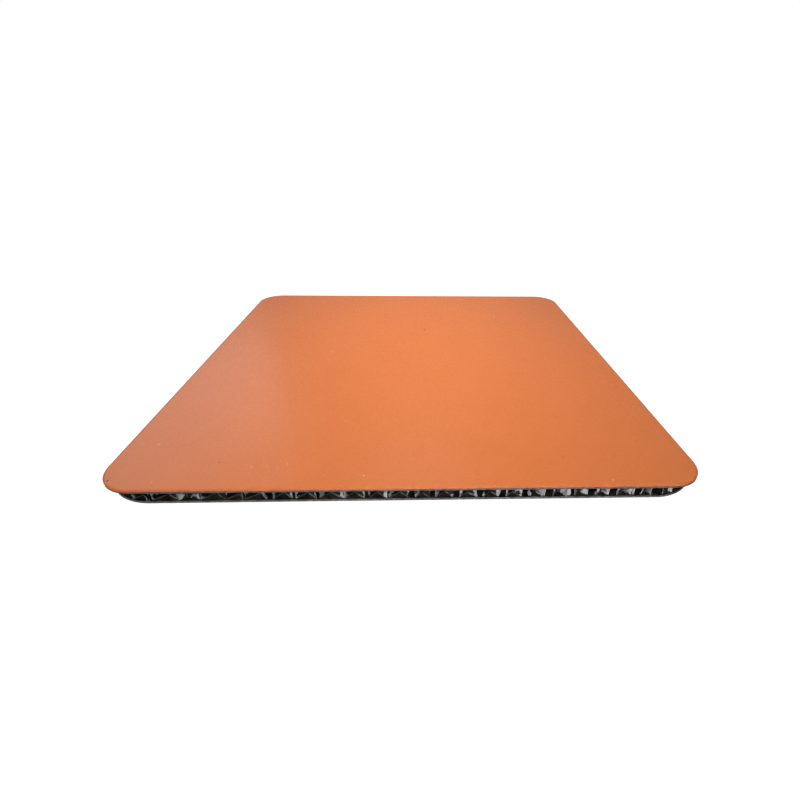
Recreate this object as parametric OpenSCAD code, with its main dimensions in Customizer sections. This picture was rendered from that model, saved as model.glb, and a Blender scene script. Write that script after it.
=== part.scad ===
// Square sample of an aluminium honeycomb panel: a painted face sheet and a bare back sheet, glued to a
// core of expanded foil ribbons that lies open all round the cut edge.
// It lies flat, +Z up and +X to the right, with the origin at the centre of its underside.

/* [Panel] */
// Width of the panel, left to right
panel_w = 200; // [120:10:300]
// Depth of the panel, front to back
panel_d = 200; // [120:10:300]
// Thickness over both sheets
panel_t = 5; // [4:0.5:12]
// Radius of the face sheet's four corners in plan
corner_r = 13; // [4:1:30]
// Radius to which the corners of the core and the back sheet are cut away below them
back_corner_r = 18.5; // [4:0.5:40]

/* [Sheets and adhesive] */
// Thickness of the painted face sheet
face_t = 1; // [0.5:0.1:1.5]
// Width of the margin that the cutter rolled over along the face sheet's upper edge
face_roll_w = 1; // [0.3:0.1:2]
// How far that margin drops to the cut edge
face_roll_drop = 0.25; // [0.1:0.05:0.4]
// Thickness of the bare back sheet
back_t = 0.7; // [0.4:0.1:1.2]
// Thickness of each film of adhesive
film_t = 0.15; // [0.05:0.05:0.3]
// How far the films stop short of the sheets' edge
film_set_back = 0.2; // [0.1:0.05:1]

/* [Foil core] */
// Width of a cell, from one bonded pair of foils to the next
cell_w = 7.4; // [5:0.1:15]
// Length of the flat over which two foils are bonded
bond_len = 4.7; // [2:0.1:8]
// Depth, front to back, of the slanting wall between two bonds
leg_run = 3; // [1.5:0.1:8]
// Thickness of the foil
foil_t = 0.06; // [0.03:0.01:0.12]
// Thickness of the glue line inside a bond
bond_gap = 0.02; // [0.01:0.01:0.05]
// How far the core stops short of the sheets' edge
core_set_back = 0.4; // [0.2:0.1:2]
// How far to the right of the panel's middle the cells lie
core_shift = 1; // [-1.8:0.1:1.8]
// How far behind the first row's bonds the front cut falls
front_cut_run = 0.4; // [-1:0.1:2]
// How far the rows of bonds slant forward from left to right
row_slant = 1.2; // [0:0.2:6]
// How far a bond strays from its place in the half-opened core
bond_stray = 0.35; // [0:0.05:0.6]

/* [Torn foil] */
// Room left between a foil end that the cutter folded over and the far side of its lane
flap_gap = 0.3; // [0.1:0.1:1]
// How much further than the core's edge a ribbon may be cut back
cut_rag = 0.25; // [0:0.05:0.5]

/* [Hidden] */
$fn = 64;
core_seed = 11;

// Radius of the face sheet's rolled margin
face_roll_r = (face_roll_w ^ 2 + face_roll_drop ^ 2) / (2 * face_roll_drop);

// Heights of the layers, from the underside up
back_film_z = back_t;
core_z = back_film_z + film_t;
face_z = panel_t - face_t;
face_film_z = face_z - film_t;
core_h = face_film_z - core_z;

// Plan of the core: each ribbon fills a lane half a cell wide, between two planes on which its bonds lie
lane_w = cell_w / 2;
half_bond = (foil_t + bond_gap) / 2;
core_right_x = panel_w / 2 - core_set_back;
core_back_y = panel_d / 2 - core_set_back;
core_front_y = -core_back_y;
side_room = core_right_x - bond_stray - half_bond;
n_left_ribbons = floor((side_room + core_shift) / lane_w);
n_ribbons = n_left_ribbons + floor((side_room - core_shift) / lane_w);
row_run = bond_len + leg_run;
n_rows = ceil((panel_d + row_slant) / row_run) + 1;
first_row_y = core_front_y - front_cut_run - bond_len;

// Each ribbon has a node of its own, up to the last, which holds what ribbons are left
max_ribbon_nodes = 55;
n_ribbon_nodes = min(n_ribbons, max_ribbon_nodes);

// Where the bonds at the front cut stand beside their planes, from left to right, as shares of a cell
front_stray_shares = [
    0.04, -0.06, -0.10, 0.08, -0.03, 0.09, -0.12, -0.12, -0.02, 0, 0.11, 0.09, 0.01, 0.08,
    -0.07, -0.04, 0.01, 0.02, 0.05, 0.12, 0.12, 0.04, -0.05, 0.06, 0.02, -0.05, 0.03
];

// Outlines of the torn ends, as shares of a flap's reach and of the core's height
leaf_shares = [[0, 0], [0.45, 0], [0.62, 0.25], [1, 1], [0, 1]];
hanging_shares = [[0, 0.42], [0.5, 0.5], [0.85, 0.38], [1, 0.6], [0.95, 1], [0, 1]];
standing_shares = [[0, 0], [0.9, 0], [1, 0.3], [0.7, 0.48], [0.35, 0.4], [0, 0.7]];
curl_shares = [[0, 0.25], [0.4, 0], [0.8, 0.15], [1, 0.55], [0.7, 0.95], [0.3, 0.85], [0, 0.9]];
patch_shares = [[0, 0.05], [0.35, 0], [0.8, 0.12], [1, 0.45], [0.92, 0.85], [0.6, 1], [0, 1]];

// Torn ends at the front cut: place across the panel, way it folds, share of its lane's mouth, outline
front_flap_shares = [
    [0.093, -1, 0.85, curl_shares], [0.142, 1, 0.75, curl_shares], [0.165, -1, 0.95, hanging_shares],
    [0.213, 1, 0.4, standing_shares], [0.278, -1, 0.7, leaf_shares], [0.319, 1, 0.35, hanging_shares],
    [0.44, 1, 0.85, hanging_shares], [0.54, 1, 0.4, hanging_shares], [0.61, -1, 0.55, patch_shares],
    [0.618, 1, 0.35, standing_shares], [0.68, -1, 1, hanging_shares], [0.69, 1, 0.6, standing_shares],
    [0.725, -1, 1, leaf_shares], [0.765, -1, 1, patch_shares], [0.838, -1, 1, patch_shares],
    [0.875, -1, 0.8, curl_shares]
];
// The same at the back cut
back_flap_shares = [
    [0.11, 1, 0.7, curl_shares], [0.22, -1, 0.9, leaf_shares], [0.34, 1, 0.6, hanging_shares],
    [0.47, -1, 1, patch_shares], [0.58, 1, 0.8, leaf_shares], [0.71, -1, 0.5, standing_shares],
    [0.83, 1, 0.9, hanging_shares], [0.9, -1, 0.6, curl_shares]
];

function two_digits(n) = str(n < 10 ? "0" : "", n);
function ribbon_name(n) = str("foil_ribbon_", two_digits(n));

// Rounded outline of the core and the back sheet, drawn in by an inset
module back_outline(inset) {
    w = panel_w - 2 * inset;
    d = panel_d - 2 * inset;
    r = back_corner_r - inset;
    square([w - 2 * r, d], center = true);
    square([w, d - 2 * r], center = true);
    for (sx = [-1, 1], sy = [-1, 1])
        translate([sx * (w / 2 - r), sy * (d / 2 - r)])
            circle(r);
}

// Section of the face sheet from a corner's centre out to its rolled margin
module face_edge_section() {
    flat_w = corner_r - face_roll_w;
    square([flat_w, face_t]);
    translate([flat_w, 0])
        intersection() {
            square([face_roll_w, face_t]);
            translate([0, face_t - face_roll_r])
                circle(face_roll_r);
        }
}

// One side of the face sheet's rim, and the corner that follows it
module face_rim(side_len) {
    rotate([90, 0, 0])
        linear_extrude(side_len, center = true)
            face_edge_section();
    translate([0, side_len / 2])
        rotate_extrude(angle = 90)
            face_edge_section();
}

// Painted upper sheet, with the margin of its upper side rolled over all round
module face_sheet() {
    mid_w = panel_w - 2 * corner_r;
    mid_d = panel_d - 2 * corner_r;
    color("coral")
        translate([0, 0, face_z]) {
            linear_extrude(face_t)
                square([mid_w, mid_d], center = true);
            for (turn = [0, 180])
                rotate(turn) {
                    translate([mid_w / 2, 0])
                        face_rim(mid_d);
                    rotate(90)
                        translate([mid_d / 2, 0])
                            face_rim(mid_w);
                }
        }
}

// Bare lower sheet
module back_sheet() {
    color("silver")
        linear_extrude(back_t)
            back_outline(0);
}

// Film of adhesive under the face sheet or over the back sheet
module film(z) {
    color("darkkhaki")
        translate([0, 0, z])
            linear_extrude(film_t)
                back_outline(film_set_back);
}

// Bonds: those on one plane stray alike for the two ribbons that share them
function plane_x(plane) = core_shift + (plane - n_left_ribbons) * lane_w;
function strays(plane) = rands(-bond_stray, bond_stray, 4 * (n_rows + 1), core_seed + plane);
bond_strays = [for (plane = [-1 : n_ribbons + 1]) strays(plane)];
function front_stray(plane) =
    cell_w * front_stray_shares[floor(abs(plane) / 2) % len(front_stray_shares)];
function bond_x(plane, row, end) =
    plane_x(plane) + (row == 0 ? front_stray(plane) : bond_strays[plane + 1][4 * row + end]);
function bond_y(plane, row, end) =
    first_row_y + row * row_run + end * bond_len - row_slant * plane_x(plane) / panel_w
    + bond_strays[plane + 1][4 * row + 2 + end];

// Middle line of a ribbon: it lies on its left and its right plane in turn, half a bond inside its lane
function ribbon_plane(ribbon, row) = (row + ribbon) % 2 == 0 ? ribbon - 1 : ribbon;
function ribbon_line(ribbon) = [
    for (row = [0 : n_rows], end = [0, 1])
        let (plane = ribbon_plane(ribbon, row))
        [bond_x(plane, row, end) + (plane < ribbon ? half_bond : -half_bond), bond_y(plane, row, end)]
];

// Stretch of a line from the panel's middle out to its first folds beyond the core's edge
core_corner_r = back_corner_r - core_set_back;
function is_in_core(point) =
    let (past_x = abs(point.x) - core_right_x + core_corner_r)
    let (past_y = abs(point.y) - core_back_y + core_corner_r)
    past_x < core_corner_r && past_y < core_corner_r
    && (past_x < 0 || past_y < 0 || norm([past_x, past_y]) < core_corner_r);
function whole_run(line) =
    let (last = len(line) - 1)
    let (start = max([for (k = [0 : n_rows]) if (k == 0 || !is_in_core(line[k])) k]))
    let (end = min([for (k = [n_rows + 1 : last]) if (k == last || !is_in_core(line[k])) k]))
    [for (k = [start : end]) line[k]];

// Outline of a strip of foil that follows a line, with mitred folds
function unit(v) = v / norm(v);
function normal(a, b) = unit([a.y - b.y, b.x - a.x]);
function mitre(line, k) =
    let (last = len(line) - 1)
    let (n0 = normal(line[max(k - 1, 0)], line[max(k, 1)]))
    let (n1 = normal(line[min(k, last - 1)], line[min(k + 1, last)]))
    (n0 + n1) / (1 + n0 * n1);
function strip_side(line, side) = [
    for (k = [0 : len(line) - 1]) line[k] + side * foil_t / 2 * mitre(line, k)
];
function strip_outline(line) =
    let (right_side = strip_side(line, -1))
    concat(strip_side(line, 1), [for (k = [len(line) - 1 : -1 : 0]) right_side[k]]);

// How far each ribbon is cut back at the front and the back
cut_rags = rands(0, cut_rag, 2 * (n_ribbons + 2), core_seed);
function front_cut_y(ribbon) = core_front_y + cut_rags[ribbon];
function back_cut_y(ribbon) = core_back_y - cut_rags[n_ribbons + 2 + ribbon];

// Ribbon whose cut end lies nearest to a flap's place, on the side that the flap folds towards
function cut_row(y) = round((y - first_row_y - bond_len / 2) / row_run);
function flap_ribbon(flap, y) =
    let (first_plane = (cut_row(y) + 1) % 2)
    let (place = ((flap[0] - 1 / 2) * panel_w - plane_x(0)) / lane_w)
    2 * round((place - first_plane) / 2) + first_plane + (flap[1] > 0 ? 1 : 0);

// Torn end of a ribbon, folded flat across the mouth of its cell as far as its lane allows
module torn_end(flap, ribbon, x) {
    way = flap[1];
    far_x = plane_x(way > 0 ? ribbon : ribbon - 1);
    reach = flap[2] * (way * (far_x - x) - flap_gap);
    rotate([90, 0, 0])
        linear_extrude(foil_t)
            polygon([for (s = flap[3]) [x + way * s[0] * reach, s[1] * core_h]]);
}

module torn_ends(flaps, ribbon, edge_y, line, cut_y) {
    x = lookup(cut_y, [for (point = line) [point.y, point.x]]);
    for (f = flaps)
        if (flap_ribbon(f, edge_y) == ribbon)
            torn_end(f, ribbon, x);
}

// One strip of foil, trimmed to the core's edge, with the torn ends that the cutter left on it
module foil_strip(ribbon, line) {
    front_y = front_cut_y(ribbon);
    back_y = back_cut_y(ribbon);
    translate([0, 0, core_z])
        intersection() {
            linear_extrude(core_h)
                back_outline(core_set_back);
            union() {
                intersection() {
                    linear_extrude(core_h)
                        polygon(strip_outline(line));
                    translate([-panel_w, front_y])
                        linear_extrude(core_h)
                            square([2 * panel_w, back_y - front_y]);
                }
                translate([0, front_y + foil_t])
                    torn_ends(front_flap_shares, ribbon, core_front_y, line, front_y);
                translate([0, back_y])
                    torn_ends(back_flap_shares, ribbon, core_back_y, line, back_y);
            }
        }
}

// Ribbons that run whole from front to back
module foil_ribbon(n) {
    color("gainsboro")
        for (ribbon = [n : n == n_ribbon_nodes ? n_ribbons : n])
            foil_strip(ribbon, whole_run(ribbon_line(ribbon)));
}

// Lengths left of the ribbon on either side through which the panel was cut
module side_foil() {
    color("gainsboro")
        for (ribbon = [0, n_ribbons + 1])
            foil_strip(ribbon, ribbon_line(ribbon));
}

face_sheet();
back_sheet();
film(face_film_z);  // face_film
film(back_film_z);  // back_film
side_foil();
for (n = [1 : n_ribbon_nodes])
    foil_ribbon(n);
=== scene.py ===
import math
import random

import bmesh
import bpy
from mathutils import Matrix, Vector, noise
from mathutils.bvhtree import BVHTree


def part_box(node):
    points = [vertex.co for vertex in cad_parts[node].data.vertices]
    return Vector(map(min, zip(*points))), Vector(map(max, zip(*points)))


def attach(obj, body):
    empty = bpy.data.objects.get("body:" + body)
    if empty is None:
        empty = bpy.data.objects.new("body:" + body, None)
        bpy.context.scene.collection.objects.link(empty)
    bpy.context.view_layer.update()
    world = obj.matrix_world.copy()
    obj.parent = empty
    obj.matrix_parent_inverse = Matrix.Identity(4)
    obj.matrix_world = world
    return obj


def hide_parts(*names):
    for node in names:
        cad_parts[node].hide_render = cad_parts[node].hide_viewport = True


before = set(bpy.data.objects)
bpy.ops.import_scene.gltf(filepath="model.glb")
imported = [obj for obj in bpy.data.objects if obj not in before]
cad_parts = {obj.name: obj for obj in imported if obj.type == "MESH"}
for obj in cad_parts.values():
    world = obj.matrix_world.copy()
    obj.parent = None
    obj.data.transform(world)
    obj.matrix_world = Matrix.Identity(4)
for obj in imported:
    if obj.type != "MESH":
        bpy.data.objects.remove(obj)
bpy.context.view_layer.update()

# The back sheet: 0.7 mm aluminium as it comes from the mill, lying on the table, glued to the core
# on its upper side. Its edge was sawn with the panel's, and wavers by a few hundredths.
mm = 0.001  # sizes are in millimetres, and the frame is in metres
collection = bpy.context.scene.collection
half_w, half_d, back_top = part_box("back_sheet")[1]
back_corner_r = 18.5 * mm
back_bevel = 0.05 * mm
back_inner_ring = 1.5 * mm
back_outer_ring = 0.3 * mm
back_seed = 3
edge_waver = 0.06 * mm
waver_scales = (350, 350)
waver_over_height = 900
waver_over_inset = 0.2
outline_step = 0.8 * mm
corner_steps = 26
edge_thirds = (0.66, 0.33)
mill_pale, mill_dark = (0.62, 0.63, 0.65), (0.50, 0.51, 0.53)
sawn_pale, sawn_dark = (0.38, 0.38, 0.39), (0.11, 0.11, 0.115)


def ripple(place, scales, lift=0.0):
    """Smooth noise from -1 to 1, with two or three scales per metre and a start of its own."""
    x, y = place[0] * scales[0], place[1] * scales[1]
    z = lift + (place[2] * scales[2] if len(scales) > 2 else 0.0)
    return noise.noise(Vector((x, y, z)))


def outline_points(corner_r):
    """Points round the panel's rounded outline, with the ways straight out from it."""
    points = []
    centre_x, centre_y = half_w - corner_r, half_d - corner_r
    for quarter, (sx, sy) in enumerate(((1, 1), (-1, 1), (-1, -1), (1, -1))):
        centre = Vector((sx * centre_x, sy * centre_y, 0))
        for k in range(corner_steps + 1):
            angle = math.pi / 2 * (quarter + k / corner_steps)
            out = Vector((math.cos(angle), math.sin(angle), 0))
            points.append((centre + corner_r * out, out))
        side = 2 * (centre_x if quarter % 2 == 0 else centre_y)
        along = Vector((-out.y, out.x, 0))
        steps = round(side / outline_step)
        for k in range(1, steps):
            points.append((points[-1][0] + along * side / steps, out))
    return points


def new_piece(name, shape):
    """The object for a shape that has been built up face by face."""
    mesh = bpy.data.meshes.new(name)
    shape.to_mesh(mesh)
    shape.free()
    piece = bpy.data.objects.new(name, mesh)
    collection.objects.link(piece)
    return piece


def sheet_piece(name, corner_r, section, seed):
    """A sheet swept round the outline: section holds (inset, height, material index) from the
    middle of its upper side out over the edge to the middle of its underside."""
    sheet = bmesh.new()
    rings = []
    for inset, height, _ in section:
        ring = []
        for point, out in outline_points(corner_r):
            waver = ripple(point + out * inset * waver_over_inset, waver_scales,
                           seed + height * waver_over_height)
            drawn_in = inset + edge_waver * (0.5 + 0.5 * waver)
            ring.append(sheet.verts.new((point.x - out.x * drawn_in, point.y - out.y * drawn_in, height)))
        rings.append(ring)
    for k, (upper, lower) in enumerate(zip(rings, rings[1:])):
        for i in range(len(upper)):
            j = (i + 1) % len(upper)
            face = sheet.faces.new((upper[i], lower[i], lower[j], upper[j]))
            face.material_index = section[k + 1][2]
            face.smooth = True
    sheet.faces.new(rings[0]).material_index = section[0][2]
    sheet.faces.new(list(reversed(rings[-1]))).material_index = section[-1][2]
    return new_piece(name, sheet)


def new_group(name, inputs, outputs):
    """An empty node group. An input is a vector if its value is one, or else a number."""
    group = bpy.data.node_groups.new(name, "ShaderNodeTree")
    for label, value in inputs.items():
        kind = "NodeSocketVector" if isinstance(value, tuple) else "NodeSocketFloat"
        group.interface.new_socket(name=label, in_out="INPUT", socket_type=kind).default_value = value
    for label in outputs:
        group.interface.new_socket(name=label, in_out="OUTPUT", socket_type="NodeSocketFloat")
    return group, group.nodes.new("NodeGroupInput").outputs, group.nodes.new("NodeGroupOutput").inputs


def feed(tree, socket, value):
    """Gives a socket a number, or the output of another node."""
    if isinstance(value, (int, float)):
        socket.default_value = value
    else:
        tree.links.new(value, socket)


def noise_step(tree, position, scale, detail, roughness=0.5):
    """Noise from 0 to 1."""
    texture = tree.nodes.new("ShaderNodeTexNoise")
    feed(tree, texture.inputs["Vector"], position)
    feed(tree, texture.inputs["Scale"], scale)
    feed(tree, texture.inputs["Detail"], detail)
    feed(tree, texture.inputs["Roughness"], roughness)
    return texture.outputs["Fac"]


def math_step(tree, operation, first, second=0.0):
    step = tree.nodes.new("ShaderNodeMath")
    step.operation = operation
    feed(tree, step.inputs[0], first)
    feed(tree, step.inputs[1], second)
    return step.outputs[0]


def vector_step(tree, operation, first, second=None):
    step = tree.nodes.new("ShaderNodeVectorMath")
    step.operation = operation
    feed(tree, step.inputs[0], first)
    if second is not None:
        feed(tree, step.inputs[1], second)
    return step.outputs["Value" if operation == "LENGTH" else "Vector"]


# Rolling lines: fine lines drawn out along the stretch, and broad smudges, both about a middle of 0.5.
line_detail, line_roughness = 4.0, 0.7
smudge_detail = 3.0
plain_grain = 90.0
rolling_lines, given, result = new_group(
    "Rolling lines", {"Position": (0, 0, 0), "Stretch": (1, 1, 1), "Smudge": 0.2, "Grain": plain_grain},
    ("Lines", "Smudges"))
stretched = vector_step(rolling_lines, "MULTIPLY", given["Position"], given["Stretch"])
drawn_lines = noise_step(rolling_lines, stretched, 1.0, line_detail, line_roughness)
rolling_lines.links.new(drawn_lines, result["Lines"])
smudges = noise_step(rolling_lines, given["Position"], given["Grain"], smudge_detail)
smudges = math_step(rolling_lines, "SUBTRACT", smudges, 0.5)
smudges = math_step(rolling_lines, "MULTIPLY", smudges, given["Smudge"])
rolling_lines.links.new(math_step(rolling_lines, "ADD", smudges, 0.5), result["Smudges"])


def use_group(tree, group, position, **values):
    """A group placed in a material, with its own values. An underscore stands for a space."""
    node = tree.nodes.new("ShaderNodeGroup")
    node.node_tree = group
    tree.links.new(position, node.inputs["Position"])
    for label, value in values.items():
        node.inputs[label.replace("_", " ")].default_value = value
    return node.outputs


def ramp(tree, value, low, high, start=0.0, end=1.0):
    """The value between start and end, brought to the range from low to high."""
    blend = tree.nodes.new("ShaderNodeMapRange")
    blend.data_type = "FLOAT"
    feed(tree, blend.inputs["Value"], value)
    for label, limit in (("From Min", start), ("From Max", end), ("To Min", low), ("To Max", high)):
        blend.inputs[label].default_value = limit
    return blend.outputs["Result"]


def pattern_ramp(tree, pattern, low, high):
    """A pattern about 0.5, which lies mostly between 0.3 and 0.7, brought to a range."""
    return ramp(tree, pattern, low, high, 0.3, 0.7)


def color_between(tree, value, first, second):
    mixed = tree.nodes.new("ShaderNodeMix")
    mixed.data_type = "RGBA"
    for label, color in (("A", first), ("B", second)):
        socket = next(s for s in mixed.inputs if s.name == label and s.type == "RGBA")
        if isinstance(color, tuple):
            socket.default_value = (*color, 1)
        else:
            tree.links.new(color, socket)
    tree.links.new(value, mixed.inputs["Factor"])
    return next(s for s in mixed.outputs if s.type == "RGBA")


def empty_tree(holder):
    holder.use_nodes = True
    holder.node_tree.nodes.clear()
    return holder.node_tree


def new_finish(name):
    """A material with one plain surface: gives the material, its nodes, the surface's sockets, and
    the place on the panel that its patterns follow."""
    material = bpy.data.materials.new(name)
    tree = empty_tree(material)
    surface = tree.nodes.new("ShaderNodeBsdfPrincipled")
    output = tree.nodes.new("ShaderNodeOutputMaterial")
    tree.links.new(surface.outputs[0], output.inputs["Surface"])
    return material, tree, surface.inputs, tree.nodes.new("ShaderNodeTexCoord").outputs["Object"]


def add_relief(tree, surface, height, depth, strength):
    bump = tree.nodes.new("ShaderNodeBump")
    bump.inputs["Distance"].default_value = depth
    bump.inputs["Strength"].default_value = strength
    tree.links.new(height, bump.inputs["Height"])
    tree.links.new(bump.outputs["Normal"], surface["Normal"])


def bare_aluminium(name, pale, dark, metallic, stretch, grain, relief, roughness):
    """Unpainted metal with the lines and smudges of its making."""
    material, tree, surface, position = new_finish(name)
    pattern = use_group(tree, rolling_lines, position, Stretch=stretch, Smudge=2.2, Grain=grain)
    surface["Metallic"].default_value = metallic
    tree.links.new(color_between(tree, pattern["Smudges"], dark, pale), surface["Base Color"])
    tree.links.new(pattern_ramp(tree, pattern["Lines"], *roughness), surface["Roughness"])
    add_relief(tree, surface, pattern["Lines"], relief, 0.5)
    return material


def cut_metal(name, grain, pale, dark):
    """The dull grey of a cut, with fine lines along the edge."""
    return bare_aluminium(name, pale, dark, metallic=0.6, stretch=(700, 700, 9000), grain=grain,
                          relief=0.03 * mm, roughness=(0.42, 0.65))


plate, edge = 0, 1
back_section = [(inset, back_top, plate) for inset in (back_inner_ring, back_outer_ring, back_bevel)]
back_section += [(0, back_top - back_bevel, edge)]
back_section += [(0, back_top * share, edge) for share in edge_thirds]
back_section += [(0, back_bevel, edge), (back_bevel, 0, edge)]
back_section += [(back_outer_ring, 0, plate), (back_inner_ring, 0, plate)]
back_sheet = sheet_piece("mill_back_sheet", back_corner_r, back_section, back_seed)
back_sheet.data.materials.append(bare_aluminium(
    "mill_finish", mill_pale, mill_dark, metallic=1.0, stretch=(2600, 40, 40), grain=plain_grain,
    relief=0.01 * mm, roughness=(0.3, 0.5)))
back_sheet.data.materials.append(cut_metal("sawn_edge", 620.0, sawn_pale, sawn_dark))
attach(back_sheet, "root")
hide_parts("back_sheet")


# The two films of adhesive that hold the core to the sheets: dark epoxy, laid on as a film and cured in
# the press. It looks nearly black between the sheets, with browner blotches where it flowed.
film_black, film_brown = (0.006, 0.005, 0.004), (0.07, 0.06, 0.045)
cured_film, tree, surface, position = new_finish("cured_film")
flow = use_group(tree, rolling_lines, position, Stretch=(900, 900, 900), Smudge=2.6, Grain=420)
surface["Specular IOR Level"].default_value = 0.08
tree.links.new(color_between(tree, flow["Smudges"], film_black, film_brown), surface["Base Color"])
tree.links.new(ramp(tree, flow["Lines"], 0.3, 0.7), surface["Roughness"])
add_relief(tree, surface, flow["Lines"], 0.03 * mm, 0.6)
for film in ("back_film", "face_film"):
    film_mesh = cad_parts[film].data
    film_mesh.materials.clear()
    film_mesh.materials.append(cured_film)


# The core: 53 whole ribbons of 0.06 mm aluminium foil and the lengths left of the two that the cutter
# ran through, bonded at staggered flats and pulled open into cells. The foil is dark with primer, and
# its colour is darkened further to near black as painted shade inside the cells. It is bright at the
# edge, where the cutter bent and tore it and folded some ends over their cells' mouths, and towards
# the right it is painted paler, as painted light for the light that falls into the cells there.
foil_t = 0.06 * mm
core_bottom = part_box("back_film")[1].z
core_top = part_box("face_film")[0].z
core_h = core_top - core_bottom
core_mid = (core_bottom + core_top) / 2
rows = 11  # points up a strip's height

# Tracing: a strip's line is read from its solid in fine steps, and thinned out deep inside.
weld_gap = 0.0005 * mm
end_room = 0.1 * mm
trace_step = 0.1 * mm
smooth_span = 3  # points
direction_run = 4  # points
seen_depth = 8 * mm
fine_step = 0.2 * mm
step_slack = 0.01
fold_gap = 0.4 * mm
fold_limit = 0.03  # squared sine of the least fold that is kept

# Crushing: how far the edge is pushed about, how deep that goes, and the scales of the bends.
crushed_depth, crushed_fall = 1.7 * mm, 1.5
lean_reach, belly_reach, broad_bend = 0.75 * mm, 0.7 * mm, (160, 160)
buckle_reach, buckle_scales = 0.22 * mm, (700, 700, 900)
dent_reach, dent_scales = 0.07 * mm, (500, 260, 500)
rag_reach, rag_scales = 0.2 * mm, (900, 900, 1400)
fringe_depth, fringe_fade = 0.4 * mm, 0.25 * mm

# Folding and tearing of the ends: lengths, then the ranges in mm and degrees that are drawn from.
edge_room = 0.1 * mm
end_depth = 3 * mm
near_edge = 1.2 * mm
hand_run = 24  # points from the tip to the place that tells which way the strip runs
fold_r = 0.16 * mm
hinge = 0.3 * mm
probe_step = 0.08  # mm
probe_steps, probe_rows = 90, 31
probe_start, probe_reach = 0.5 * mm, 0.7 * mm
flap_step = 0.14 * mm
flap_lift = 0.12 * mm
flap_curl = 0.9
flap_wave, flap_crinkle, flap_wave_start = 0.5 * mm, 0.3 * mm, 0.5 * mm
flap_creases, flap_reaches, flap_turns = 4, (-0.1, 1.2), (-70, 70)
tab_steps, tab_rise, tab_fall = 8, 0.02, 0.03
pushed_turn, spread_turns, pushed_reaches = 70, (0, 14), (0.6, 1.5)
tip_reaches, tip_turns, tip_gap = (0.0, 0.8), (-40, 130), 0.05
tear_reaches = (0.4, 1.0)
cutter = random.Random(5)

# Small ends that stand over a mouth at the front: ribbon, side, reach in mm, lower and upper share.
front_tabs = [
    ("foil_ribbon_06", 1, 0.8, 0.0, 0.8), ("foil_ribbon_17", -1, 0.6, 0.3, 0.95),
    ("foil_ribbon_21", -1, 0.5, 0.0, 1.0), ("foil_ribbon_22", 1, 0.5, 0.0, 1.0),
    ("foil_ribbon_23", -1, 0.5, 0.0, 0.8), ("foil_ribbon_25", -1, 0.7, 0.0, 1.0),
    ("foil_ribbon_28", 1, 0.6, 0.1, 1.0), ("foil_ribbon_31", -1, 0.9, 0.25, 1.0),
    ("foil_ribbon_35", -1, 1.0, 0.15, 1.0), ("foil_ribbon_36", 1, 0.6, 0.0, 0.9),
    ("foil_ribbon_46", 1, 0.8, 0.4, 1.0), ("foil_ribbon_51", -1, 1.2, 0.1, 0.9),
]
# Primer colours, darkened to near black: the foil's own dark primer plus painted shade inside the cells.
primer_and_shade_black, primer_and_shade_grey = (0.004, 0.0038, 0.0035), (0.018, 0.0175, 0.016)
torn_bright = (0.56, 0.56, 0.57)
painted_light_from, painted_light_to, painted_light_more = 22 * mm, 42 * mm, 0.42  # painted light: paler foil towards the right, for the light that falls into the cells there
smear_color = (0.62, 0.13, 0.035)
foil_smears = [
    ((-11.4, -99.3, 3.4), 0, (0.35, 1.0, 0.3)), ((55.2, -99.2, 3.3), 0, (0.4, 1.0, 0.35)),
    ((67.2, -99.3, 3.0), 0, (0.5, 1.2, 0.3)), ((70.0, -99.3, 2.4), 0, (0.35, 0.8, 0.35)),
]


def solids_of(node):
    """The separate solids of a node, each as its search tree and its box in plan."""
    welded = bmesh.new()
    welded.from_mesh(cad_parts[node].data)
    bmesh.ops.remove_doubles(welded, verts=welded.verts, dist=weld_gap)
    welded.verts.index_update()
    found = []
    waiting = set(welded.verts)
    while waiting:
        group = set()
        front = [waiting.pop()]
        while front:
            vert = front.pop()
            group.add(vert)
            for link in vert.link_edges:
                other = link.other_vert(vert)
                if other in waiting:
                    waiting.remove(other)
                    front.append(other)
        order = {vert: k for k, vert in enumerate(sorted(group, key=lambda vert: vert.index))}
        faces = sorted({face for vert in group for face in vert.link_faces}, key=lambda face: face.index)
        shape = BVHTree.FromPolygons([vert.co for vert in order],
                                     [[order[vert] for vert in face.verts] for face in faces])
        xs = [vert.co.x for vert in group]
        ys = [vert.co.y for vert in group]
        found.append((shape, min(xs), max(xs), min(ys), max(ys)))
    welded.free()
    return sorted(found, key=lambda solid: (solid[1], solid[3]))


def depth_in_panel(x, y):
    """How far a place lies inside the back sheet's outline, and the way straight out from it."""
    past_x = abs(x) - (half_w - back_corner_r)
    past_y = abs(y) - (half_d - back_corner_r)
    if past_x > 0 and past_y > 0:
        out = Vector((math.copysign(past_x, x), math.copysign(past_y, y), 0))
        return back_corner_r - out.length, out.normalized()
    if half_w - abs(x) < half_d - abs(y):
        return half_w - abs(x), Vector((math.copysign(1, x), 0, 0))
    return half_d - abs(y), Vector((0, math.copysign(1, y), 0))


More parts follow.
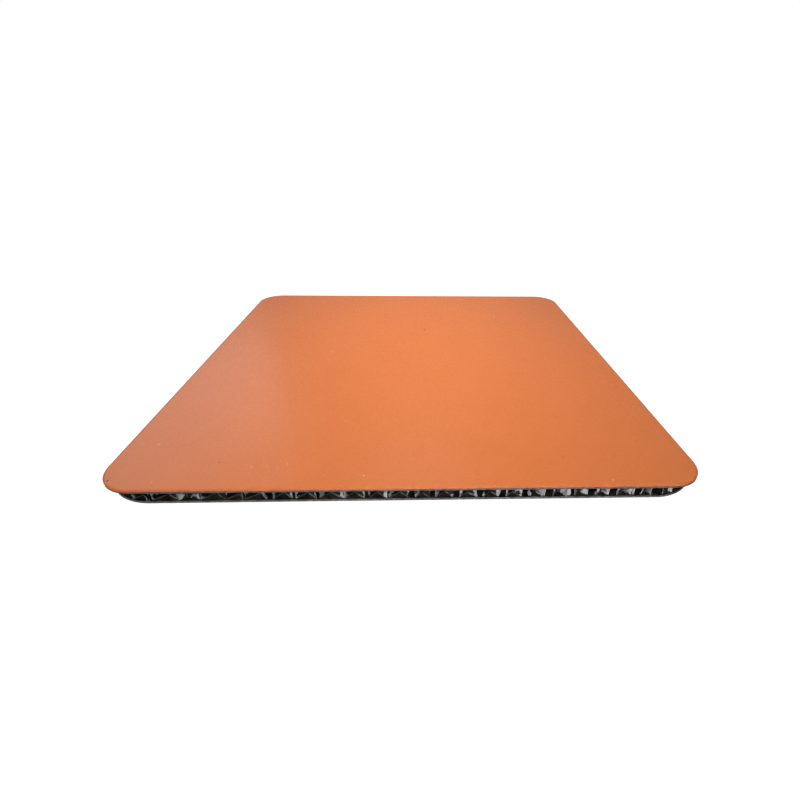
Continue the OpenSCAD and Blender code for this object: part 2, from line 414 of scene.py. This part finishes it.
def middle_line(solid):
    """Middle line of a strip in plan, from its front end to its back end."""
    shape, low_x, high_x, low_y, high_y = solid
    start, end = low_y + end_room, high_y - end_room
    steps = max(4, math.ceil((end - start) / trace_step))
    traced = []
    for k in range(steps + 1):
        y = start + (end - start) * k / steps
        left = shape.ray_cast(Vector((low_x - mm, y, core_mid)), Vector((1, 0, 0)))[0]
        right = shape.ray_cast(Vector((high_x + mm, y, core_mid)), Vector((-1, 0, 0)))[0]
        if left and right:
            traced.append(Vector(((left.x + right.x) / 2, y)))
    rounded = []
    for k in range(len(traced)):
        span = min(smooth_span, k, len(traced) - 1 - k)
        near = traced[k - span:k + span + 1]
        rounded.append(sum(near, Vector((0, 0))) / len(near))
    for spot, inner, y in ((0, direction_run, low_y), (-1, -1 - direction_run, high_y)):
        slope = (rounded[spot].x - rounded[inner].x) / (rounded[spot].y - rounded[inner].y)
        tip = Vector((rounded[spot].x + slope * (y - rounded[spot].y), y))
        rounded.insert(0, tip) if spot == 0 else rounded.append(tip)
    return rounded


def thin_out(line):
    """Leaves out points: every other one near the edge, and all but the folds deep inside."""
    kept = [line[0]]
    for k in range(1, len(line) - 1):
        depth = depth_in_panel(*line[k])[0]
        step = (line[k] - kept[-1]).length
        if depth < seen_depth:
            if step >= fine_step * (1 - step_slack):
                kept.append(line[k])
            continue
        before = (line[k] - kept[-1]).normalized()
        after = (line[min(k + direction_run, len(line) - 1)] - line[k]).normalized()
        if before.cross(after) ** 2 > fold_limit and step > fold_gap:
            kept.append(line[k])
    kept.append(line[-1])
    return kept


def crush(point):
    """Where a point of the foil comes to lie after the cutter has pushed the edge about."""
    depth, out = depth_in_panel(point.x, point.y)
    along = Vector((-out.y, out.x, 0))
    share = (point.z - core_bottom) / core_h
    bent = math.exp(-(max(depth, 0) / crushed_depth) ** crushed_fall)
    lean = lean_reach * ripple(point, broad_bend) * (share - 0.5) * 2
    belly = belly_reach * ripple(point, broad_bend, 7.3) * math.sin(math.pi * share)
    buckle = buckle_reach * ripple(point, buckle_scales)
    dent = dent_reach * ripple(point, dent_scales, 4.1) * math.sin(math.pi * share)
    fringe = math.exp(-max(depth - fringe_depth, 0) / fringe_fade)
    rag = rag_reach * fringe * ripple(point, rag_scales, 2.7)
    return point + along * (bent * (lean + belly + buckle) + dent) + out * rag


def fold_foil(sheet, low, high, turn, from_share=0.0, to_share=1.0):
    """Turns what lies beyond a straight crease, which crosses the foil from low on its lower edge to
    high on its upper edge. The sheet is a list of (reach, share of the core's height, vertex)."""
    def spot(reach, share):
        return min(sheet, key=lambda p: (p[0] - reach) ** 2 + ((p[1] - share) * core_h) ** 2)[2].co.copy()
    foot, head = spot(low, 0), spot(high, 1)
    axis = (head - foot).normalized()
    slope = core_h / math.hypot(high - low, core_h)
    for reach, share, vert in sheet:
        beyond = (reach - low - (high - low) * share) * slope
        if beyond > 0 and from_share <= share <= to_share:
            bend = Matrix.Rotation(math.radians(turn) * min(1, beyond / fold_r), 3, axis)
            vert.co = foot + bend @ (vert.co - foot)


def keep_inside(sheet):
    """Brings the points of a folded end back between the sheets and inside the panel's outline."""
    for _, _, vert in sheet:
        vert.co.x = max(edge_room - half_w, min(half_w - edge_room, vert.co.x))
        vert.co.y = max(edge_room - half_d, min(half_d - edge_room, vert.co.y))
        vert.co.z = max(core_bottom, min(core_top, vert.co.z))


def skin(foil, grid, torn=()):
    """The faces between a foil's columns of points, left open where it is torn."""
    for first, second in zip(grid, grid[1:]):
        for j in range(rows - 1):
            if (first[j], second[j]) not in torn and (second[j], first[j]) not in torn:
                foil.faces.new((first[j], second[j], second[j + 1], first[j + 1])).smooth = True


def flap_outline(shape, root, way, y, look):
    """Lower and upper edge of the end that is folded over a cell's mouth, going away from its root.
    Rays find it in the solid, from just outside the mouth inwards."""
    spans = []
    for k in range(1, probe_steps):
        reach = k * probe_step * mm
        hits = []
        for j in range(probe_rows):
            z = core_bottom + core_h * (j + 0.5) / probe_rows
            start = Vector((root + way * reach, y - look * probe_start, z))
            if shape.ray_cast(start, Vector((0, look, 0)), probe_reach)[0]:
                hits.append(z)
        if not hits and k > 2:
            break
        if hits:
            spans.append((reach, min(hits), max(hits)))
    return spans if len(spans) > 3 else []


def tab_outline(reach, low, high):
    """Outline of a small tab, narrower towards its end, between two shares of the core's height."""
    return [(reach * mm * k / tab_steps, core_bottom + core_h * (low + tab_rise * k),
             core_bottom + core_h * (high - tab_fall * k)) for k in range(tab_steps + 1)]


def add_flap(foil, root, way, look, spans):
    """An end that the cutter folded over: it turns on a small radius and is crumpled."""
    reach = spans[-1][0]
    curl = flap_curl * ripple(root, (900, 10), 3.3)
    limit = half_d - edge_room
    grid = []
    sheet = []
    steps = max(6, math.ceil(reach / flap_step))
    for k in range(-2, steps + 1):
        u = reach * k / steps
        gone = max(0, u)
        _, low, high = min(spans, key=lambda s: abs(s[0] - u))
        if u < hinge:
            turn = max(0.0, (u + hinge) / (2 * hinge))
            x = root.x + way * hinge * turn ** 2
            y = root.y + look * hinge * (1 - turn) ** 2
        else:
            x, y = root.x + way * u, root.y
        y += look * curl * (gone / reach) ** 2 * reach / 4
        column = []
        for j in range(rows):
            z = low + (high - low) * j / (rows - 1)
            wave = flap_wave * ripple((x, z), (520, 700), root.x * 50)
            wave += flap_crinkle * abs(ripple((x * 1300 + z * 500, z * 1500), (1, 1), root.x * 70))
            wave *= min(1, gone / flap_wave_start)
            outside = y + look * (flap_lift + wave) * min(1, gone / hinge)
            column.append(foil.verts.new((x, max(-limit, min(limit, outside)), z)))
            sheet.append((u, j / (rows - 1), column[-1]))
        grid.append(column)
    for _ in range(flap_creases):
        low, high = reach * cutter.uniform(*flap_reaches), reach * cutter.uniform(*flap_reaches)
        fold_foil(sheet, low, high, cutter.uniform(*flap_turns))
    keep_inside(sheet)
    skin(foil, grid)


def random_creases(tip, hand, tear_share):
    """Creases of an end that the cutter pushed about. The two foils of a bond are pushed the same way
    and spread a little, and their tips are turned over above and below the tear."""
    pushed = pushed_turn * ripple(tip, (290, 10), 5.5)
    creases = [(cutter.uniform(*pushed_reaches), cutter.uniform(*pushed_reaches),
                pushed + hand * cutter.uniform(*spread_turns), 0, 1)]
    for from_share, to_share in ((0, tear_share), (tear_share + tip_gap, 1)):
        creases.append((cutter.uniform(*tip_reaches), cutter.uniform(*tip_reaches),
                        hand * cutter.uniform(*tip_turns), from_share, to_share))
    return creases


def tear_end(columns, facing, tear_row, tear_reach, creases):
    """Folds the end of a strip along its creases, and gives the places where it is torn along a row."""
    torn = set()
    sheet = []
    run = 0
    for k, column in enumerate(columns):
        if k:
            run += (column[0].co.xy - columns[k - 1][0].co.xy).length
        if run > end_depth:
            break
        sheet += [(-run, j / (rows - 1), vert) for j, vert in enumerate(column)]
        if run < tear_reach and k + 1 < len(columns):
            torn.add((column[tear_row], columns[k + 1][tear_row]))
    for low, high, turn, from_share, to_share in creases:
        fold_foil(sheet, -low * mm, -high * mm, facing * turn, from_share, to_share)
    keep_inside(sheet)
    return torn


def add_strip(foil, solid, node):
    """One strip of crumpled foil, with the ends that are folded over. Gives its line in plan."""
    line = thin_out(middle_line(solid))
    heights = [core_bottom + core_h * j / (rows - 1) for j in range(rows)]
    grid = [[foil.verts.new(crush(Vector((spot.x, spot.y, z)))) for z in heights] for spot in line]
    torn = set()
    for end, look in ((0, 1), (-1, -1)):
        tip = line[end]
        if abs(abs(tip.y) - half_d) > near_edge:
            continue
        flaps = 0
        for way in (-1, 1):
            spans = flap_outline(solid[0], tip.x + way * foil_t, way, tip.y, look)
            if not spans and look > 0:
                spans = [span for tab in front_tabs if tab[:2] == (node, way)
                         for span in tab_outline(*tab[2:])]
            if spans:
                add_flap(foil, tip, way, look, spans)
                flaps += 1
        inner = line[min(hand_run, len(line) - 1) if end == 0 else max(-1 - hand_run, -len(line))]
        hand = 1 if inner.x > tip.x else -1
        tear_reach = cutter.uniform(*tear_reaches) * mm
        tear_row = cutter.randint(2, rows - 4)
        creases = random_creases(tip, hand, tear_row / (rows - 1))
        if not flaps:
            torn |= tear_end(grid if end == 0 else grid[::-1], look, tear_row, tear_reach, creases)
    skin(foil, grid, torn)
    return line[1:-1]


def held_to_one(tree, value):
    """The value, held between 0 and 1."""
    return math_step(tree, "MINIMUM", math_step(tree, "MAXIMUM", value, 0.0), 1.0)


# Cut edge: 1 at the panel's rounded outline and 0 from the given depth inwards, with a ragged limit.
# It marks the bared foil at the cut, and the band of painted shade along the coat's rim.
fine_scale, fine_detail, fine_roughness = 1500.0, 3.0, 0.6
broad_scale, broad_detail, broad_weight = 260.0, 1.0, 2.5
speckle_middle = 1.75
cut_edge, given, result = new_group(
    "Cut edge", {"Position": (0, 0, 0), "Corner centre": (0, 0, 0), "Corner radius": 0.01,
                 "Depth": 0.001, "Raggedness": 0.5}, ("Wear and shade",))
folded = vector_step(cut_edge, "ABSOLUTE", given["Position"])
past = cut_edge.nodes.new("ShaderNodeSeparateXYZ")
cut_edge.links.new(vector_step(cut_edge, "SUBTRACT", folded, given["Corner centre"]), past.inputs[0])
past_x, past_y = past.outputs["X"], past.outputs["Y"]
out_x = math_step(cut_edge, "MAXIMUM", past_x, 0.0)
out_y = math_step(cut_edge, "MAXIMUM", past_y, 0.0)
squares = math_step(cut_edge, "ADD", math_step(cut_edge, "MULTIPLY", out_x, out_x),
                    math_step(cut_edge, "MULTIPLY", out_y, out_y))
flat_part = math_step(cut_edge, "MINIMUM", math_step(cut_edge, "MAXIMUM", past_x, past_y), 0.0)
reach = math_step(cut_edge, "ADD", math_step(cut_edge, "SQRT", squares), flat_part)
inwards = math_step(cut_edge, "SUBTRACT", given["Corner radius"], reach)
share = math_step(cut_edge, "DIVIDE", inwards, given["Depth"])
fine = noise_step(cut_edge, given["Position"], fine_scale, fine_detail, fine_roughness)
broad = noise_step(cut_edge, given["Position"], broad_scale, broad_detail)
speckle = math_step(cut_edge, "ADD", fine, math_step(cut_edge, "MULTIPLY", broad, broad_weight))
speckle = math_step(cut_edge, "SUBTRACT", speckle, speckle_middle)
stray = math_step(cut_edge, "MULTIPLY", speckle, given["Raggedness"])
wear_and_shade = math_step(cut_edge, "SUBTRACT", 1.0, math_step(cut_edge, "ADD", share, stray))
cut_edge.links.new(held_to_one(cut_edge, wear_and_shade), result["Wear and shade"])

# Mark: a small patch with a ragged edge, given by its centre, its turn and how far it reaches.
rag_scale, rag_detail, rag_weight = 2600.0, 2.0, 1.6
mark_edge, mark_sharpness = 1.15, 4.0
mark, given, result = new_group(
    "Mark", {"Position": (0, 0, 0), "Centre": (0, 0, 0), "Turn": 0.0, "Reach": (0.001, 0.001, 0.001)},
    ("Mask",))
turned = mark.nodes.new("ShaderNodeVectorRotate")
turned.rotation_type = "Z_AXIS"
for label, socket in (("Position", "Vector"), ("Centre", "Center"), ("Turn", "Angle")):
    mark.links.new(given[label], turned.inputs[socket])
offset = vector_step(mark, "SUBTRACT", turned.outputs[0], given["Centre"])
away = vector_step(mark, "LENGTH", vector_step(mark, "DIVIDE", offset, given["Reach"]))
ragged = math_step(mark, "SUBTRACT", noise_step(mark, given["Position"], rag_scale, rag_detail), 0.5)
away = math_step(mark, "ADD", away, math_step(mark, "MULTIPLY", ragged, rag_weight))
mask = math_step(mark, "MULTIPLY", math_step(mark, "SUBTRACT", mark_edge, away), mark_sharpness)
mark.links.new(held_to_one(mark, mask), result["Mask"])


def add_marks(tree, position, color, marks, mark_color):
    """The colour with several marks on it, each given in mm as its centre, its turn and its reach."""
    total = None
    for centre, turn, reach in marks:
        mask = use_group(tree, mark, position, Centre=[c * mm for c in centre], Turn=math.radians(turn),
                         Reach=[r * mm for r in reach])["Mask"]
        total = mask if total is None else math_step(tree, "MAXIMUM", total, mask)
    return color_between(tree, total, color, mark_color)


foil_finish, tree, surface, position = new_finish("core_foil")
surface["Specular IOR Level"].default_value = 0.02
pattern = use_group(tree, rolling_lines, position, Stretch=(300, 300, 5200), Smudge=1.2)
scuffed = use_group(
    tree, cut_edge, position, Corner_centre=(half_w - back_corner_r, half_d - back_corner_r, 0),
    Corner_radius=back_corner_r, Depth=crushed_depth, Raggedness=1.0)["Wear and shade"]
across = tree.nodes.new("ShaderNodeSeparateXYZ")
tree.links.new(position, across.inputs[0])
# Painted light: the foil is painted paler from 22 to 42 mm along X, for the light from the left that falls
# into the cells on the right. The bright torn foil at the cut is real.
painted_light_right = ramp(tree, across.outputs["X"], 0.0, painted_light_more, painted_light_from, painted_light_to)
bright = ramp(tree, math_step(tree, "ADD", scuffed, painted_light_right), 0.0, 1.0, 0.4, 0.58)
# Painted shade: the near-black primer colour stands in for the shade inside the cells.
primed_and_shaded = color_between(tree, pattern["Smudges"], primer_and_shade_black, primer_and_shade_grey)
foil_color = color_between(tree, bright, primed_and_shaded, torn_bright)
tree.links.new(add_marks(tree, position, foil_color, foil_smears, smear_color), surface["Base Color"])
tree.links.new(ramp(tree, bright, 0.0, 0.6), surface["Metallic"])
tree.links.new(pattern_ramp(tree, pattern["Lines"], 0.34, 0.56), surface["Roughness"])
add_relief(tree, surface, pattern["Lines"], 0.012 * mm, 0.5)
foil_lines = []
foil_nodes = sorted(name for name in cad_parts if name.startswith("foil_ribbon"))
for node in foil_nodes + ["side_foil"]:
    foil = bmesh.new()
    for solid in solids_of(node):
        foil_lines.append(add_strip(foil, solid, node))
    strip = new_piece(node + "_torn", foil)
    gauge = strip.modifiers.new("foil gauge", "SOLIDIFY")
    gauge.thickness = foil_t
    gauge.offset = 0
    strip.data.materials.append(foil_finish)
    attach(strip, "root")
    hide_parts(node)


# The glue fillets: the film crept up both sides of every foil before it set, top and bottom. They are
# a little paler than the film, and stay on the sheets where the cutter tore the foil away.
fillet_w = 0.34 * mm
fillet_h = 0.42 * mm
fillet_depth = 9 * mm
waist_w, waist_h = 0.28, 0.32
swell_least, swell_range = 0.75, 0.5
glue_dark, glue_pale = (0.09, 0.08, 0.065), (0.18, 0.165, 0.14)


def add_fillet(glue, line, side, base_z, rise):
    """A small wedge of glue along one side of a foil's foot."""
    rings = []
    for k, spot in enumerate(line):
        before, after = line[max(k - 1, 0)], line[min(k + 1, len(line) - 1)]
        ahead = (after - before).normalized()
        out = Vector((-ahead.y, ahead.x)) * side
        swell = swell_least + swell_range * ripple(spot, (800, 800), base_z * 3000 + side)
        wall = spot + out * foil_t / 2
        foot = spot + out * (foil_t / 2 + fillet_w * swell)
        waist = spot + out * (foil_t / 2 + fillet_w * swell * waist_w)
        rings.append([
            glue.verts.new((wall.x, wall.y, base_z)),
            glue.verts.new((foot.x, foot.y, base_z)),
            glue.verts.new((waist.x, waist.y, base_z + rise * fillet_h * swell * waist_h)),
            glue.verts.new((wall.x, wall.y, base_z + rise * fillet_h * swell)),
        ])
    turned = side * rise > 0
    for first, second in zip(rings, rings[1:]):
        for j in range(4):
            corners = [first[j], first[(j + 1) % 4], second[(j + 1) % 4], second[j]]
            glue.faces.new(corners if turned else corners[::-1]).smooth = True
    for ring, flip in ((rings[0], turned), (rings[-1], not turned)):
        glue.faces.new(ring[::-1] if flip else ring)


set_glue, tree, surface, position = new_finish("set_glue")
creep = use_group(tree, rolling_lines, position, Stretch=(1600, 1600, 1600), Smudge=1.4)
surface["Specular IOR Level"].default_value = 0.2
tree.links.new(color_between(tree, creep["Smudges"], glue_dark, glue_pale), surface["Base Color"])
tree.links.new(ramp(tree, creep["Lines"], 0.25, 0.5), surface["Roughness"])
for side_name, base_z, rise in (("back", core_bottom, 1), ("face", core_top, -1)):
    glue = bmesh.new()
    for line in foil_lines:
        stretch = []
        for spot in line + [None]:
            if spot and depth_in_panel(*spot)[0] < fillet_depth:
                stretch.append(spot)
                continue
            if len(stretch) > 3:
                for side in (-1, 1):
                    add_fillet(glue, stretch, side, base_z, rise)
            stretch = []
    fillets = new_piece(side_name + "_glue_fillets", glue)
    fillets.data.materials.append(set_glue)
    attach(fillets, "root")


# The face sheet: 1 mm aluminium, coil coated in satin orange before the panel was pressed. The
# cutter rolled its margin over, left the metal bare where it sheared through, and dragged a little
# paint down over it. Dust and knocks left specks, short scratches and one chip.
face_low, face_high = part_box("face_sheet")
face_corner_r = 13 * mm
face_inner_ring = 2.6 * mm
face_seed = 11
roll_w = 1.0 * mm
roll_drop = 0.25 * mm
roll_r = (roll_w ** 2 + roll_drop ** 2) / (2 * roll_drop)
# The rim: a ragged band along the rolled margin where the coat is painted darker and redder, as painted
# shade.
rim_w = 0.75 * mm
coat_deep, coat_bright, coat_fleck = (0.69, 0.183, 0.047), (0.74, 0.203, 0.056), (0.58, 0.145, 0.036)
rim_shade_color = (0.64, 0.135, 0.034)
speck_dark, speck_pale, flake_pale = (0.07, 0.035, 0.03), (0.86, 0.5, 0.33), (0.85, 0.72, 0.55)
sheared_pale, sheared_dark = (0.32, 0.32, 0.33), (0.1, 0.1, 0.105)
top = face_high.z / mm
dark_specks = [
    ((x, y, top), 0, (r, r * 1.2, 1)) for x, y, r in (
        (-95.9, -94.7, 0.34), (8.6, 35.6, 0.5), (-64.1, -85.8, 0.22), (23.3, -93.2, 0.15),
        (48.8, -88.3, 0.15), (54.8, -84.0, 0.17))
]
pale_specks = [
    ((x, y, top), 0, (r, r * 1.2, 1)) for x, y, r in (
        (-14.4, -93.4, 0.26), (-27.3, -92.9, 0.14), (52.7, 57.6, 0.5), (-40.0, 4.8, 0.36),
        (-81.7, -95.6, 0.22), (-89.1, -75.2, 0.36), (67.6, -96.9, 0.26))
]
pale_scratches = [
    ((x, y, top), turn, (0.8, 0.09, 1)) for x, y, turn in (
        (-52.3, -88.4, 62), (-47.3, -88.0, 66), (-43.4, -89.4, 62), (-40.8, -87.2, 66), (-24.0, -60.5, 20))
]
flake = [((-99.8, 83.0, top - 0.3), 0, (0.9, 1.6, 1.2))]
paint_smears = [
    ((-88.3, -100, top - 0.3), 0, (1.3, 0.5, 0.28)), ((-40.0, -100, top - 0.25), 0, (0.8, 0.5, 0.12)),
    ((27.0, -100, top - 0.25), 0, (1.6, 0.5, 0.1)), ((79.0, -100, top - 0.25), 0, (1.1, 0.5, 0.12)),
]


def roll_height(inset):
    """Height of the rolled margin, a round of a large radius that runs out into the flat."""
    return face_high.z - roll_r + math.sqrt(roll_r ** 2 - (roll_w - inset) ** 2)


paint, bare = 0, 1
face_section = [(inset, face_high.z, paint) for inset in (face_inner_ring, face_inner_ring / 2)]
face_section += [(s * mm, roll_height(s * mm), paint) for s in (1.0, 0.8, 0.6, 0.45, 0.3, 0.16, 0.05)]
face_section += [(0, roll_height(0), paint)]
face_section += [(0, face_high.z - drop * mm, bare) for drop in (0.31, 0.5, 0.7)]
face_section += [(0, face_low.z + 0.06 * mm, bare)]
face_section += [(inset, face_low.z, bare) for inset in (0.05 * mm, 0.6 * mm, face_inner_ring)]
face_sheet = sheet_piece("painted_face_sheet", face_corner_r, face_section, face_seed)

painted_face, tree, surface, position = new_finish("satin_orange_coat")
coat = use_group(tree, rolling_lines, position, Stretch=(1500, 1500, 1500), Smudge=0.9)
clouded = color_between(tree, coat["Smudges"], coat_deep, coat_bright)
coat_color = color_between(tree, ramp(tree, coat["Lines"], 0.0, 0.3, 0.35, 0.75), clouded, coat_fleck)
# Painted shade: the coat is painted darker along its rolled margin.
rim_shade = use_group(tree, cut_edge, position, Depth=rim_w, Raggedness=0.4, Corner_radius=face_corner_r,
                Corner_centre=(half_w - face_corner_r, half_d - face_corner_r, 0))["Wear and shade"]
coat_color = color_between(tree, ramp(tree, rim_shade, 0.0, 0.95), coat_color, rim_shade_color)
for marks, mark_color in ((dark_specks, speck_dark), (pale_specks + pale_scratches, speck_pale),
                          (flake, flake_pale)):
    coat_color = add_marks(tree, position, coat_color, marks, mark_color)
surface["Specular IOR Level"].default_value = 0.3
tree.links.new(coat_color, surface["Base Color"])
tree.links.new(pattern_ramp(tree, coat["Lines"], 0.23, 0.31), surface["Roughness"])
add_relief(tree, surface, coat["Lines"], 0.006 * mm, 0.35)

sheared_edge = cut_metal("sheared_edge", 480.0, sheared_pale, sheared_dark)
tree = sheared_edge.node_tree
surface = next(node for node in tree.nodes if node.type == "BSDF_PRINCIPLED").inputs
position = next(node for node in tree.nodes if node.type == "TEX_COORD").outputs["Object"]
bare_color = surface["Base Color"].links[0].from_socket
tree.links.new(add_marks(tree, position, bare_color, paint_smears, smear_color), surface["Base Color"])
face_sheet.data.materials.append(painted_face)
face_sheet.data.materials.append(sheared_edge)
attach(face_sheet, "root")
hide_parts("face_sheet")


# The table: a wide matt board just below the panel. The camera sees it as white paper, the metal sees
# it dimmer, and it keeps the panel's soft contact shadow.
table_size = 6.0
table_drop = 0.02 * mm
board_in_light, board_in_camera = (0.2, 0.2, 0.2), (0.34, 0.34, 0.34)
paper_white = 0.93
seen_in_metal = 0.08


def white_seen(tree, by_camera):
    """How much of the white background a ray sees: the camera's rays most of it, and rays that come
    by way of metal or glass a little."""
    path = tree.nodes.new("ShaderNodeLightPath").outputs
    by_way = math_step(tree, "MAXIMUM", path["Is Glossy Ray"], path["Is Transmission Ray"])
    return math_step(tree, "MAXIMUM", ramp(tree, by_way, 0.0, seen_in_metal),
                     ramp(tree, path["Is Camera Ray"], 0.0, by_camera))


bpy.ops.mesh.primitive_plane_add(size=table_size, location=(0, 0, -table_drop))
table = bpy.context.object
table.name = "table_top"
pale_board = bpy.data.materials.new("pale_board")
tree = empty_tree(pale_board)
board = tree.nodes.new("ShaderNodeBsdfDiffuse")
glow = tree.nodes.new("ShaderNodeEmission")
path = tree.nodes.new("ShaderNodeLightPath").outputs
both = tree.nodes.new("ShaderNodeAddShader")
output = tree.nodes.new("ShaderNodeOutputMaterial")
tree.links.new(color_between(tree, path["Is Camera Ray"], board_in_light, board_in_camera),
               board.inputs["Color"])
tree.links.new(white_seen(tree, paper_white), glow.inputs["Strength"])
tree.links.new(board.outputs[0], both.inputs[0])
tree.links.new(glow.outputs[0], both.inputs[1])
tree.links.new(both.outputs[0], output.inputs["Surface"])
table.data.materials.append(pale_board)


# The light: a dim even room, a soft box close above the panel's middle, which makes the centre
# brightest, a pale window far behind on the left, and three lamps in front, which light the cut edge.
# The soft box and the low lamp don't show in glossy surfaces.
room_strength = 0.26
room_white = (0.93, 0.96, 1.0)
window_white = (0.88, 0.93, 1.0)
warm_white = (1.0, 0.98, 0.95)
lamp_white = (1.0, 0.99, 0.97)

world = bpy.data.worlds.new("room")
bpy.context.scene.world = world
tree = empty_tree(world)
room_light = tree.nodes.new("ShaderNodeBackground")
room_light.inputs["Color"].default_value = (*room_white, 1)
room_light.inputs["Strength"].default_value = room_strength
room_seen = tree.nodes.new("ShaderNodeBackground")
room_seen.inputs["Color"].default_value = (1, 1, 1, 1)
room_mix = tree.nodes.new("ShaderNodeMixShader")
output = tree.nodes.new("ShaderNodeOutputWorld")
tree.links.new(white_seen(tree, 1.0), room_mix.inputs[0])
tree.links.new(room_light.outputs[0], room_mix.inputs[1])
tree.links.new(room_seen.outputs[0], room_mix.inputs[2])
tree.links.new(room_mix.outputs[0], output.inputs["Surface"])


def soft_lamp(name, place, aim, size, power, color):
    lamp = bpy.data.objects.new(name, bpy.data.lights.new(name, "AREA"))
    lamp.data.shape = "RECTANGLE"
    lamp.data.size, lamp.data.size_y = size
    lamp.data.energy = power
    lamp.data.color = color
    lamp.location = place
    lamp.rotation_euler = (Vector(aim) - Vector(place)).to_track_quat("-Z", "Y").to_euler()
    lamp.visible_camera = False
    collection.objects.link(lamp)
    return lamp


soft_box = soft_lamp("soft_box", place=(0.006, 0.034, 0.165), aim=(0.006, 0.034, 0), size=(0.09, 0.28),
                     power=0.372, color=warm_white)
soft_box.visible_glossy = False
soft_lamp("window", place=(-0.73, 0.87, 0.69), aim=(-0.09, 0, 0), size=(0.75, 0.5),
          power=1.7, color=window_white)
low_lamp = soft_lamp("low_lamp", place=(-0.35, -0.38, 0.03), aim=(0.075, -0.1, 0), size=(0.12, 0.02),
                     power=0.08, color=warm_white)
low_lamp.data.spread = math.radians(24)
low_lamp.visible_glossy = False
soft_lamp("front_strip", place=(0.03, -0.52, 0.09), aim=(0, -0.1, 0), size=(0.22, 0.05),
          power=0.17, color=lamp_white)
soft_lamp("front_fill", place=(-0.03, -0.6, 0.6), aim=(0, -0.1, 0), size=(0.4, 0.25),
          power=0.4, color=lamp_white)


# The photographer's stand: the panel lies on a white table and is looked down on from close in
# front, with a short lens. The lens and the place come from a fit to the panel's outline.
camera_place = Vector((1.76 * mm, -207.85 * mm, 101.26 * mm))
camera_pitch = math.radians(30.51)
camera_yaw = math.radians(-2.44)
camera_roll = math.radians(1.02)
photo_width_px = 800
focal_length_px = 446.1
lens_centre_px = 429
forward = Vector((
    -math.sin(camera_yaw) * math.cos(camera_pitch),
    math.cos(camera_yaw) * math.cos(camera_pitch),
    -math.sin(camera_pitch),
))
level_right = Vector((math.cos(camera_yaw), math.sin(camera_yaw), 0))
level_up = level_right.cross(forward)
image_right = level_right * math.cos(camera_roll) + level_up * math.sin(camera_roll)
image_up = level_up * math.cos(camera_roll) - level_right * math.sin(camera_roll)
camera = bpy.data.objects.new("camera", bpy.data.cameras.new("camera"))
camera.data.lens = camera.data.sensor_width * focal_length_px / photo_width_px
camera.data.shift_x = -(lens_centre_px - photo_width_px / 2) / photo_width_px
camera.data.clip_start = 5 * mm
camera.matrix_world = Matrix.Translation(camera_place) @ Matrix(
    (image_right, image_up, -forward)).transposed().to_4x4()
collection.objects.link(camera)
bpy.context.scene.camera = camera
bpy.context.scene.view_settings.view_transform = "Standard"
